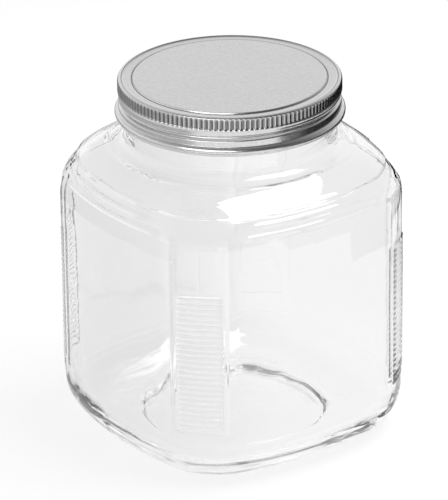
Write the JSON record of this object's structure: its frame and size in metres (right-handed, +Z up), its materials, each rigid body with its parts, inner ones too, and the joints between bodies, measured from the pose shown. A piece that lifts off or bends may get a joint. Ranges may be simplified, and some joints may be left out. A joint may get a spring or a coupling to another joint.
{
  "type": "screw-lid glass storage jar",
  "caption": "Clear glass jar with a square body, ribbed corners, round shoulder and wide neck, closed by a brushed metal screw lid with a knurled rim.",
  "frame": {"origin": "middle of the base, on the plane the jar stands on", "axes": "+Z up along the neck and lid axis; +X and +Y through the middles of two neighbouring bowed faces, so the ribbed corners lie on the diagonals"},
  "size_m": [0.141, 0.141, 0.1713],
  "materials": {
    "glass": "clear flint glass, polished",
    "lid_metal": "satin brushed",
    "liner_foam": "matte foam"
  },
  "bodies": {
    "glass": {"jar": "glass"},
    "seal": {"lid_liner": "liner_foam"},
    "lid": {"lid_shell": "lid_metal"}
  },
  "joints": [
    {"name": "lid_rise", "type": "slide", "parent": "glass", "child": "seal", "axis": [0, 0, 1], "range_m": [0, 0.0204]},
    {"name": "lid_turn", "type": "hinge", "parent": "seal", "child": "lid", "pos_m": [0, 0, 0.16], "axis": [0, 0, 1], "range_deg": [0, 1440]}
  ],
  "couplings": [
    {"joint": "lid_rise", "follows": "lid_turn", "m_per_rad": 0.00080851}
  ]
}
